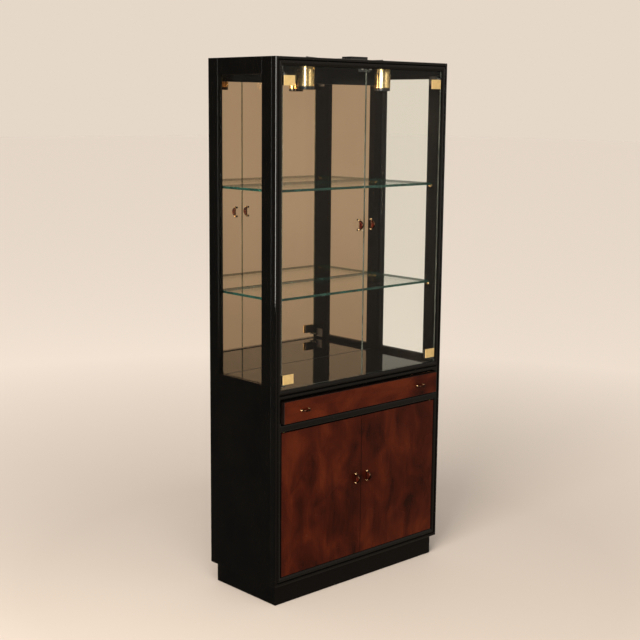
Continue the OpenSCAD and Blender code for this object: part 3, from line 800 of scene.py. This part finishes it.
@dataclass
class Carcass:
    """The lacquered boards and the moulded face frame."""

    ease: float = 0.9 * MM
    fine_ease: float = 0.4 * MM
    fine: Tuple[str, ...] = ("front_window_uprights", "rear_window_uprights", "window_heads",
                             "glass_beads")
    boards: Tuple[str, ...] = (
        "plinth_front", "plinth_back", "plinth_cross_boards", "side_panel_left",
        "side_panel_right", "front_window_uprights", "rear_window_uprights", "window_heads",
        "bottom_panel", "top_panel", "back_header", "front_posts", "rear_posts", "glass_beads")
    mouldings: Tuple[str, ...] = ("stile_left", "stile_right", "top_rail", "waist_rail",
                                  "drawer_rail", "bottom_rail")

    def build(self) -> None:
        """Builds the boards, the mouldings, the deck and the back."""
        # The eased edges of the boards and the deck take the second finish: rubbed wear with a painted
        # highlight along them.
        for node in self.boards:
            Shape.from_node(node, self.fine_ease if node in self.fine else self.ease).piece(
                node + "_eased", "case", "black_lacquer", (LACQUER, RUBBED_HIGHLIGHT), (node,), True)
        for node in self.mouldings:
            Shape.from_node(node, 0.25 * MM, 1).piece(
                node + "_moulding", "case", "black_lacquer", (MOULDING, MOULDING), (node,))
        Shape.from_node("display_deck", 0.6 * MM).piece(
            "deck_board", "case", "black_lacquer", (DECK_LACQUER, RUBBED_HIGHLIGHT), ("display_deck",), True)
        Shape.from_node("back_panel", 0.5 * MM).piece(
            "back_board", "case", "black_lacquer", (BACK_BOARD,), ("back_panel",))


@dataclass
class Joinery:
    """The plain wooden parts inside the case."""

    def build(self) -> None:
        """Builds the divider, the wooden shelf and the drawer's runners."""
        for node, finish in (("divider_panel", SHELF_WOOD), ("cabinet_shelf", SHELF_WOOD),
                             ("drawer_runners", BOX_WOOD)):
            Shape.from_node(node, 0.7 * MM).piece(node + "_wood", "case", "plain_wood",
                                                  (finish,), (node,))


@dataclass
class DisplayBay:
    """Glass sides, glass shelves on pins, and the mirror."""

    edge: float = 0.7 * MM

    def build(self) -> None:
        """Builds the glass, the pins and the mirror."""
        for node in ("side_glass_left", "side_glass_right"):
            Shape.from_node(node, 0.4 * MM).faced(flat_faces(0)).piece(
                node + "_pane", "case", "clear_glass", (PANE, DOOR_EDGE), (node,))
        for node in ("glass_shelf_upper", "glass_shelf_lower"):
            Shape.from_node(node, self.edge).faced(flat_faces(2)).piece(
                node + "_plate", "case", "clear_glass", (PANE, EDGE), (node,))
        Shape.from_node("back_mirror", 0.8 * MM).faced(lambda face: face.normal.y < -0.99).piece(
            "mirror_sheet", "case", "bronze_mirror", (MIRROR, MIRROR_BACK), ("back_mirror",))
        Shape.from_node("shelf_pins", 0.5 * MM).piece(
            "brass_shelf_pins", "case", "brass", (BRASS,), ("shelf_pins",))


@dataclass
class CanLights:
    """Two brass can lights under the top, with baffles, sockets, lamps and threaded stems."""

    wall: float = 1.2 * MM
    rim: float = 1.6 * MM
    stem_hole: float = 5.1 * MM
    bead: float = 0.5 * MM
    grooves: int = 5
    groove: float = 0.9 * MM
    cap: float = 12.4 * MM
    cap_pitch: float = 2.2 * MM
    stem: Tuple[float, float] = (3.5 * MM, 5.0 * MM)
    tooth: float = 1.2 * MM
    thread: float = 0.35 * MM
    nut: Tuple[float, float] = (9.9 * MM, 3.0 * MM)
    radius: float = field(init=False)
    x: float = field(init=False)
    y: float = field(init=False)

    def build(self) -> None:
        """Turns every part of both lights."""
        low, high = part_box("can_shells")
        self.radius = (high.y - low.y) / 2
        self.x, self.y = high.x - self.radius, (high.y + low.y) / 2
        self.shells(low.z, high.z)
        self.baffles()
        self.sockets_and_lamps()
        self.stems()

    def both(self, shape: Shape) -> Shape:
        """Sets a shape turned about Z into both lights."""
        return shape.at(self.x, self.y, 0).twin()

    def shells(self, low: float, high: float) -> None:
        """Turns the shells, with a rolled rim and a crowned shoulder.

        Args:
            low: Height of the rim.
            high: Height of the ceiling.
        """
        r, w, rim = self.radius, self.wall, self.rim
        lip = [(r - rim / 2 + rim / 2 * math.cos(a), low + rim / 2 - rim / 2 * math.sin(a))
               for a in (0, 0.5, 1.0, math.pi / 2, 2.2, 2.8)]
        hole, bead = self.stem_hole, self.bead
        inside = [(hole, high - w), (r - w - 1.5 * MM, high - w), (r - w, high - w - 1.5 * MM),
                  (r - w, low + rim)]
        outside = [(r, low + 4 * MM), (r - bead, low + 4.4 * MM), (r - bead, low + 5.4 * MM),
                   (r, low + 5.8 * MM), (r, high - 2 * MM), (r - 0.6 * MM, high - 0.6 * MM),
                   (r - 2 * MM, high), (hole, high)]
        profile = [*inside, *reversed(lip), *outside, inside[0]]
        self.both(Shape.lathe(profile, 64)).piece("brass_can_shells", "case", "brass", (CAN_BRASS,),
                                                  ("can_shells",))

    def baffles(self) -> None:
        """Turns the grooved black baffles."""
        low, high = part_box("can_baffles")
        outer = (high.y - low.y) / 2
        inner, depth = outer - 5.3 * MM, high.z - low.z
        steps = [(inner + (self.groove if i % 2 else 0),
                  low.z + 1.5 * MM + (depth - 3 * MM) * i / (2 * self.grooves))
                 for i in range(2 * self.grooves + 1)]
        profile = [*steps, (inner, high.z), (outer, high.z), (outer, low.z + 2 * MM),
                   (outer - 0.6 * MM, low.z + 0.6 * MM), (outer - 2 * MM, low.z),
                   (inner + 1.2 * MM, low.z), steps[0]]
        self.both(Shape.lathe(profile, 64)).piece("black_baffles", "case", "black_metal",
                                                  (BLACK_METAL,), ("can_baffles",))

    def sockets_and_lamps(self) -> None:
        """Turns the glazed sockets and the reflector lamps."""
        low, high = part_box("lamp_sockets")
        r = (high.y - low.y) / 2
        inner, floor = r - 3 * MM, high.z - 7 * MM
        profile = [(0, high.z), (inner, high.z), (r - MM, high.z - 2 * MM), (r - MM, high.z - 9 * MM),
                   (r, high.z - 10 * MM), (r, low.z + MM), (r - MM, low.z), (inner, low.z),
                   (inner, floor), (0, floor)]
        self.both(Shape.lathe(profile)).piece("glazed_sockets", "case", "socket_ceramic", (GLAZE,),
                                              ("lamp_sockets",))
        low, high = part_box("lamp_bulbs")
        r = (high.y - low.y) / 2
        cap = [(self.cap - (self.thread * 2 if i % 2 else 0), high.z - 2 * MM - self.cap_pitch * i)
               for i in range(10)]
        crown, steps = 5 * MM, 10
        face = [(r * math.cos(a), low.z + crown - crown * math.sin(a))
                for a in (math.pi / 2 * i / steps for i in range(steps))]
        neck = [(13.4 * MM, high.z - 26 * MM), (15 * MM, high.z - 31 * MM), (19 * MM, high.z - 43 * MM),
                (22.2 * MM, high.z - 52 * MM), (r, high.z - 57 * MM)]
        profile = [(0, high.z), (9 * MM, high.z), *cap, *neck, *face, (0, low.z)]
        self.both(Shape.lathe(profile)).paint(
            1, lambda f: f.calc_center_median().z > high.z - 24 * MM).piece(
            "reflector_lamps", "case", "lamp_glass", (FROST, ZINC), ("lamp_bulbs",))

    def stems(self) -> None:
        """Turns the threaded stems and cuts their nuts."""
        low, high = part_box("can_stems")
        ceiling, roof = (corner.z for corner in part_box("top_panel"))
        inner, outer = self.stem
        count = int((high.z - low.z) / self.tooth)
        teeth = [(outer - (self.thread if i % 2 else 0), low.z + (high.z - low.z) * i / count)
                 for i in range(count + 1)]
        stem = Shape.lathe([(inner, low.z), *teeth, (inner, high.z), (inner, low.z)], 32)
        across, thick = self.nut
        for base in (roof, ceiling - self.wall - thick):
            nut = Shape()
            bmesh.ops.create_cone(nut.bm, cap_ends=True, segments=6, radius1=across, radius2=across,
                                  depth=thick)
            stem.join(nut.eased(0.5 * MM).at(0, 0, base + thick / 2))
        self.both(stem).piece("threaded_stems", "case", "plated_steel", (ZINC,), ("can_stems",))


@dataclass
class Wiring:
    """The flat wiring box on the top and its two leads."""

    lead: float = 2.2 * MM
    screw: float = 2.6 * MM
    screw_inset: float = 9.0 * MM

    def build(self) -> None:
        """Builds the box, its screws and the leads."""
        low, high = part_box("wiring_box")
        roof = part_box("top_panel")[1].z
        box_y = (low.y + high.y) / 2
        Shape.from_node("wiring_box", 1.1 * MM, 3).piece(
            "wiring_cover", "case", "black_metal", (BLACK_METAL,), ("wiring_box",))
        screws, r, sunk = Shape(), self.screw, 0.9 * MM
        for x in (low.x + self.screw_inset, high.x - self.screw_inset):
            screws.join(Shape.lathe([(0, 0.35 * MM), (0.7 * MM, 0.35 * MM), (0.9 * MM, 0.9 * MM),
                                     (0.8 * r, 0.6 * MM), (r, 0.0), (r, -0.6 * MM),
                                     (0, -0.6 * MM)], 24).at(x, box_y, high.z - sunk))
        screws.piece("cover_screws", "case", "plated_steel", (ZINC,))
        stem_low, stem_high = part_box("can_stems")
        x, y = stem_high.x - 10 * MM, (stem_low.y + stem_high.y) / 2
        lie = roof + self.lead + 0.3 * MM
        route = smooth_route([
            (x, y, roof + 2 * MM), (x, y, roof + 5 * MM), (x - 4 * MM, y, roof + 6.6 * MM),
            (x - 14 * MM, y - MM, roof + 5.6 * MM), (x - 40 * MM, y - 3 * MM, lie + 2 * MM),
            (x - 84 * MM, y - 5 * MM, lie), (high.x + 18 * MM, box_y + 9 * MM, lie),
            (high.x - 5 * MM, box_y + 8 * MM, lie + 2 * MM)])
        Shape.tube(route, self.lead).twin().piece("lamp_leads", "case", "lead_sheath", (SHEATH,),
                                                  ("light_leads",))


@dataclass
class Pull:
    """A bow on a spine between two balls, with a resin inlay inside the bow."""

    bow: float = 15.0 * MM
    leg: float = 2.5 * MM
    bar: float = 2.6 * MM
    spine: Tuple[float, float] = (3.0 * MM, 18.5 * MM)
    ball: float = 4.4 * MM
    inlay: float = 4.0 * MM
    shank: float = 1.9 * MM
    head: Tuple[float, float] = (4.4 * MM, 2.0 * MM)

    def metal(self, through: float) -> Shape:
        """The brass of an upright pull on a face at y = 0, standing towards -Y.

        Args:
            through: Thickness of the glass that it is screwed through, or 0.

        Returns:
            Bow, spine, balls and screws.
        """
        made = Shape.ring_part(self.bow, self.bar, -math.pi / 2, math.pi).at(0, -self.ball - self.leg, 0)
        for z in (-self.bow, self.bow):
            made.join(Shape.lathe([(0, 0), (self.bar, 0), (self.bar, self.leg), (0, self.leg)], 20)
                      .placed(Matrix.Rotation(math.pi / 2, 4, "X")).at(0, -self.ball, z))
        thick, end = self.spine
        waist, shoulder = thick - 0.5 * MM, self.bow + 3 * MM
        made.join(Shape.lathe([(0, -end), (thick, -end), (thick, -shoulder),
                               (waist, -shoulder + 0.3 * MM), (waist, shoulder - 0.3 * MM),
                               (thick, shoulder), (thick, end), (0, end)], 28)
                  .at(0, -self.ball, 0))
        for z in (-end, end):
            made.join(self.end_ball().at(0, -self.ball, z))
            if through:
                made.join(self.glass_screw(through).at(0, 0, z))
        return made

    def end_ball(self) -> Shape:
        """A ball on a small turned foot that points to +Y, in the second finish, which is painted bright
        as a highlight.
        """
        r = self.ball
        round_part = [(r * math.cos(a), r * math.sin(a))
                      for a in (math.radians(-40 + 10 * i) for i in range(13))]
        profile = [(0, -r), (3.0 * MM, -r), (3.4 * MM, -r + 0.5 * MM), (2.9 * MM, -r + 1.1 * MM),
                   *round_part, (0, r)]
        return Shape.lathe(profile, 28).paint(1, every_face).placed(
            Matrix.Rotation(math.pi / 2, 4, "X"))

    def glass_screw(self, through: float) -> Shape:
        """A screw from behind the glass into a ball.

        Args:
            through: Thickness of the glass.

        Returns:
            The screw, pointing to -Y from its head.
        """
        start, (r, thick) = 0.2 * MM, self.head
        back = through + thick
        profile = [(0, start), (self.shank, start), (self.shank, through), (r, through),
                   (r + 0.1 * MM, through + 0.5 * MM), (r - 0.5 * MM, back - 0.4 * MM),
                   (r - 1.8 * MM, back), (0, back)]
        return Shape.lathe(profile, 28).placed(Matrix.Rotation(-math.pi / 2, 4, "X"))

    def resin(self) -> Shape:
        """The inlay of an upright pull: a half disc on short legs, with softened edges."""
        made = Shape()
        reach, steps = self.bow - 0.4 * MM, 32
        outline = [(reach, 0.0), *[(reach * math.cos(math.pi * i / steps),
                                    -self.leg - reach * math.sin(math.pi * i / steps))
                                   for i in range(steps + 1)], (-reach, 0.0)]
        made.bm.faces.new([made.bm.verts.new((-self.inlay / 2, deep - self.ball, high))
                           for high, deep in outline])
        grown = bmesh.ops.extrude_face_region(made.bm, geom=list(made.bm.faces))["geom"]
        bmesh.ops.translate(made.bm, vec=(self.inlay, 0, 0),
                            verts=[g for g in grown if isinstance(g, bmesh.types.BMVert)])
        bmesh.ops.recalc_face_normals(made.bm, faces=made.bm.faces)
        return made.eased(0.9 * MM, 3, 50.0)

    def build(self, name: str, body: str, node: str, places: Sequence[Point], run: Run,
              through: float = 0.0) -> None:
        """Builds one or more pulls as a brass piece and a resin piece.

        Args:
            name: Start of the pieces' names.
            body: The CAD body that they move with.
            node: The CAD node that they stand for.
            places: Middle of each pull on its face.
            run: Which way the pull's ends lie.
            through: Thickness of the glass behind it, or 0.
        """
        metal, resin = Shape(), Shape()
        turn = Matrix.Rotation(math.pi / 2 if run is Run.ACROSS else 0.0, 4, "Y")
        for place in places:
            metal.join(self.metal(through).placed(turn).at(*place))
            resin.join(self.resin().placed(turn).at(*place))
        # The bows are painted dark as a painted reflection, the balls bright as painted highlights.
        metal.piece(name + "_bow", body, "brass", (SHADED_BOW_BRASS, HIGHLIT_BALLS), (node,))
        resin.piece(name + "_inlay", body, "brass", (RESIN,))


@dataclass
class GlassDoor:
    """A glass door with hinge plates, clamps, a strike clip and a pull."""

    side: Side
    clip: Tuple[float, float] = (19 * MM, 25 * MM)
    clip_t: float = 0.7 * MM

    def build(self) -> None:
        """Builds the door."""
        word = self.side.name.lower()
        body = f"{word}_glass_door"
        low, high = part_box(f"glass_door_{word}")
        Shape.from_node(f"glass_door_{word}", 0.5 * MM).faced(flat_faces(1)).piece(
            f"{word}_door_pane", body, "clear_glass", (PANE, DOOR_EDGE), (f"glass_door_{word}",))
        Shape.from_node(f"{word}_hinge_plates", 0.6 * MM, 3).piece(
            f"{word}_brass_plates", body, "brass", (PLATE_BRASS,), (f"{word}_hinge_plates",))
        Shape.from_node(f"{word}_hinge_clamps", 0.5 * MM).piece(
            f"{word}_black_clamps", body, "black_metal", (BLACK_METAL,), (f"{word}_hinge_clamps",))
        self.strike(word, body, low, high)
        pull = middle(f"{word}_glass_pull")
        Pull().build(f"{word}_glass_door_pull", body, f"{word}_glass_pull",
                     [(pull.x, low.y, pull.z)], Run.UPRIGHT, high.y - low.y)

    def strike(self, word: str, body: str, low: Vector, high: Vector) -> None:
        """Folds the bright clip over the door's top edge, where the catch pulls it.

        Args:
            word: The door's side.
            body: The CAD body that it moves with.
            low: The door's lowest corner.
            high: The door's highest corner.
        """
        a, b = sorted(self.side.value * v for v in self.clip)
        front, back, top = low.y - self.clip_t, high.y + self.clip_t, high.z + self.clip_t
        made = Shape.board((a, front, high.z - 2.5 * MM), (b, low.y, high.z), 0.2 * MM)
        made.join(Shape.board((a, high.y, high.z - 3 * MM), (b, back, high.z), 0.2 * MM))
        made.join(Shape.board((a, front, high.z), (b, back, top), 0.2 * MM))
        made.piece(f"{word}_strike_clip", body, "brass", (ZINC,))


@dataclass
class Hinges:
    """The fixed hinge arms of the glass doors, the lower doors' pins, and the catches."""

    def build(self) -> None:
        """Builds the fixed hardware."""
        Shape.from_node("hinge_arms", 0.5 * MM).piece("black_hinge_arms", "case", "black_metal",
                                                      (BLACK_METAL,), ("hinge_arms",))
        Shape.from_node("door_pivot_pins", 0.3 * MM).piece("brass_pivot_pins", "case", "brass",
                                                          (BRASS,), ("door_pivot_pins",))
        Shape.from_node("door_catches", 0.8 * MM).piece(
            "magnetic_catches", "case", "black_plastic", (BLACK_PLASTIC,), ("door_catches",))


@dataclass
class Drawer:
    """The shallow drawer with its veneered front and two pulls."""

    def build(self) -> None:
        """Builds the front, the box and the pulls."""
        Shape.from_node("drawer_front", 1.2 * MM, 3).faced(flat_faces(1)).piece(
            "drawer_veneer", "drawer", "veneer", (DRAWER_VENEER, DARK_FRONT_EDGES), ("drawer_front",))
        for node, finish in (("drawer_sides", BOX_WOOD), ("drawer_back", SHELF_WOOD),
                             ("drawer_bottom", SHELF_WOOD)):
            Shape.from_node(node, 0.8 * MM).piece(node + "_wood", "drawer", "plain_wood", (finish,),
                                                  (node,))
        low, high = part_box("drawer_pulls")
        pull = Pull()
        x = high.x - pull.bow - pull.ball
        z, face = (low.z + high.z) / 2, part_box("drawer_front")[0].y
        pull.build("drawer_pull", "drawer", "drawer_pulls", [(-x, face, z), (x, face, z)], Run.ACROSS)


@dataclass
class LowerDoor:
    """A veneered lower door with its pull and the plate that its catch holds."""

    side: Side
    plate: Tuple[float, float] = (8 * MM, 22 * MM)
    plate_drop: Tuple[float, float] = (2 * MM, 14 * MM)
    plate_t: float = 0.8 * MM

    def build(self) -> None:
        """Builds the door."""
        word = self.side.name.lower()
        body, node = f"{word}_wood_door", f"wood_door_{word}"
        low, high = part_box(node)
        Shape.from_node(node, 1.0 * MM, 3).faced(flat_faces(1)).piece(
            f"{word}_door_veneer", body, "veneer", (DOOR_VENEER, DARK_FRONT_EDGES), (node,))
        a, b = sorted(self.side.value * v for v in self.plate)
        top, bottom = (high.z - drop for drop in self.plate_drop)
        Shape.board((a, high.y, bottom), (b, high.y + self.plate_t, top), 0.2 * MM).piece(
            f"{word}_strike_plate", body, "brass", (ZINC,))
        pull = middle(f"{word}_wood_pull")
        Pull().build(f"{word}_lower_pull", body, f"{word}_wood_pull", [(pull.x, low.y, pull.z)],
                     Run.UPRIGHT)


@dataclass
class Studio:
    """The pale floor, darker round the cabinet, soft light and camera."""

    near_floor: Colour = (0.52, 0.45, 0.39)
    far_floor: Colour = (0.89, 0.795, 0.71)
    backdrop: Colour = (0.79, 0.685, 0.58)
    room: Colour = (0.44, 0.385, 0.32)
    low_room: Colour = (0.25, 0.2, 0.155)
    dim: Colour = (0.09, 0.08, 0.07)
    ambient: Colour = (0.52, 0.51, 0.50)
    lamp: Colour = (1.0, 0.95, 0.88)
    eye: Point = (-3.3438, -3.5295, 1.8585)
    yaw: float = 0.7507
    pitch: float = 0.1700
    roll: float = 0.0093
    lens: float = 69.906

    def build(self) -> None:
        """Sets up the stage."""
        self.lay_floor()
        self.light()
        self.set_camera()
        bpy.context.scene.view_settings.view_transform = "Standard"
        bpy.context.scene.cycles.transparent_max_bounces = 32

    def lay_floor(self) -> None:
        """Lays a wide floor, darker within a few metres of the cabinet and paler further out."""
        bm = bmesh.new()
        bmesh.ops.create_grid(bm, x_segments=1, y_segments=1, size=60.0)
        mesh = bpy.data.meshes.new("floor")
        bm.to_mesh(mesh)
        bm.free()
        r = Recipe.material("pale_floor")
        reach = r.node("ShaderNodeVectorMath", {0: r.coordinates["Object"]},
                       operation="LENGTH").outputs["Value"]
        # Darker near the cabinet and paler further out, where the floor meets the backdrop.
        colour = r.ramp(r.math("DIVIDE", reach, 6.0), ((0.2, self.near_floor), (0.75, self.far_floor)))
        mesh.materials.append(r.surface(colour, 0.6, {"Specular IOR Level": 0.15}))
        made = bpy.data.objects.new("floor", mesh)
        bpy.context.scene.collection.objects.link(made)
        made.location.z = -0.0005
        made.visible_glossy = False

    def light(self) -> None:
        """Hangs a broad soft key and three panels."""
        self.surround()
        self.sun("key", (-0.4, -0.42, 1.3), 1.4, 28.0)
        self.panel("soft_window", (-4.75, -1.5, 1.7), (0, 0, 1.1), (1.9, 2.6), 300.0)
        self.panel("side_strip", (-4.15, -2.8, 1.7), (0, 0, 1.1), (0.8, 2.6), 165.0)
        self.panel("front_panel", (0.6, -3.2, 2.7), (0, 0, 1.0), (1.6, 1.2), 20.0)

    def surround(self) -> None:
        """Puts a plain backdrop behind the cabinet, even light round it and a dim room in its gloss."""
        bpy.context.scene.world = bpy.data.worlds.new("surround")
        r = Recipe(bpy.context.scene.world, "ShaderNodeOutputWorld")
        rays = r.node("ShaderNodeLightPath").outputs
        way = r.node("ShaderNodeSeparateXYZ", {0: r.coordinates["Generated"]}).outputs
        room = r.blend(r.span(way["Z"], 0.0, 1.0, -0.3, -0.08), self.low_room, self.room)
        room = r.blend(r.span(way["X"], 0.0, 1.0, -0.5, 0.1), self.dim, room)
        seen, gloss, even = (r.node("ShaderNodeBackground", {"Color": colour}).outputs[0] for colour in
                             ((*self.backdrop, 1), room, (*self.ambient, 1)))
        sharp = r.node("ShaderNodeMixShader", {0: rays["Is Glossy Ray"], 1: seen, 2: gloss})
        r.done(r.node("ShaderNodeMixShader", {0: rays["Is Diffuse Ray"], 1: sharp.outputs[0], 2: even}))

    def sun(self, name: str, towards: Point, strength: float, width: float) -> None:
        """Adds a soft distant light.

        Args:
            name: Its name.
            towards: Where it shines from.
            strength: Its strength.
            width: How wide it looks, in degrees.
        """
        data = bpy.data.lights.new(name, "SUN")
        data.energy, data.angle, data.color = strength, math.radians(width), self.lamp
        lamp = bpy.data.objects.new(name, data)
        lamp.rotation_euler = Vector(towards).to_track_quat("Z", "Y").to_euler()
        bpy.context.scene.collection.objects.link(lamp)

    def panel(self, name: str, place: Point, aim: Point, size: Tuple[float, float],
              power: float) -> None:
        """Adds a soft light panel.

        Args:
            name: Its name.
            place: Where it hangs.
            aim: What it points at.
            size: Its width and height.
            power: Its power in watts.
        """
        data = bpy.data.lights.new(name, "AREA")
        data.shape, data.energy = "RECTANGLE", power
        data.size, data.size_y = size
        data.color = self.lamp
        lamp = bpy.data.objects.new(name, data)
        lamp.location = place
        lamp.rotation_euler = (Vector(place) - Vector(aim)).to_track_quat("Z", "Y").to_euler()
        bpy.context.scene.collection.objects.link(lamp)

    def set_camera(self) -> None:
        """Points the camera at the cabinet from its left front, a little above it."""
        level = Vector((math.cos(self.yaw), -math.sin(self.yaw), 0))
        ahead = Vector((math.sin(self.yaw) * math.cos(self.pitch),
                        math.cos(self.yaw) * math.cos(self.pitch), -math.sin(self.pitch)))
        above = level.cross(ahead)
        across = math.cos(self.roll) * level + math.sin(self.roll) * above
        above = math.cos(self.roll) * above - math.sin(self.roll) * level
        data = bpy.data.cameras.new("camera")
        data.lens, data.sensor_width = self.lens, 36.0
        data.clip_start, data.clip_end = 0.05, 200.0
        camera = bpy.data.objects.new("camera", data)
        camera.matrix_world = Matrix.Translation(self.eye) @ Matrix(
            (across, above, -ahead)).transposed().to_4x4()
        bpy.context.scene.collection.objects.link(camera)
        bpy.context.scene.camera = camera


@dataclass
class Cabinet:
    """The whole display cabinet, in the order that its pieces are put together."""

    parts: List[object] = field(default_factory=lambda: [
        Carcass(), Joinery(), DisplayBay(), CanLights(), Wiring(), Hinges(),
        GlassDoor(Side.LEFT), GlassDoor(Side.RIGHT), Drawer(), LowerDoor(Side.LEFT),
        LowerDoor(Side.RIGHT)])

    def build(self) -> None:
        """Builds every sub-assembly."""
        for part in self.parts:
            part.build()
            LOG.info("%s built", type(part).__name__)


def main() -> None:
    """Builds the cabinet and the studio."""
    logging.basicConfig(level=logging.INFO, format="%(name)s: %(message)s")
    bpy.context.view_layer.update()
    Cabinet().build()
    Studio().build()


if __name__ == "__main__":
    main()
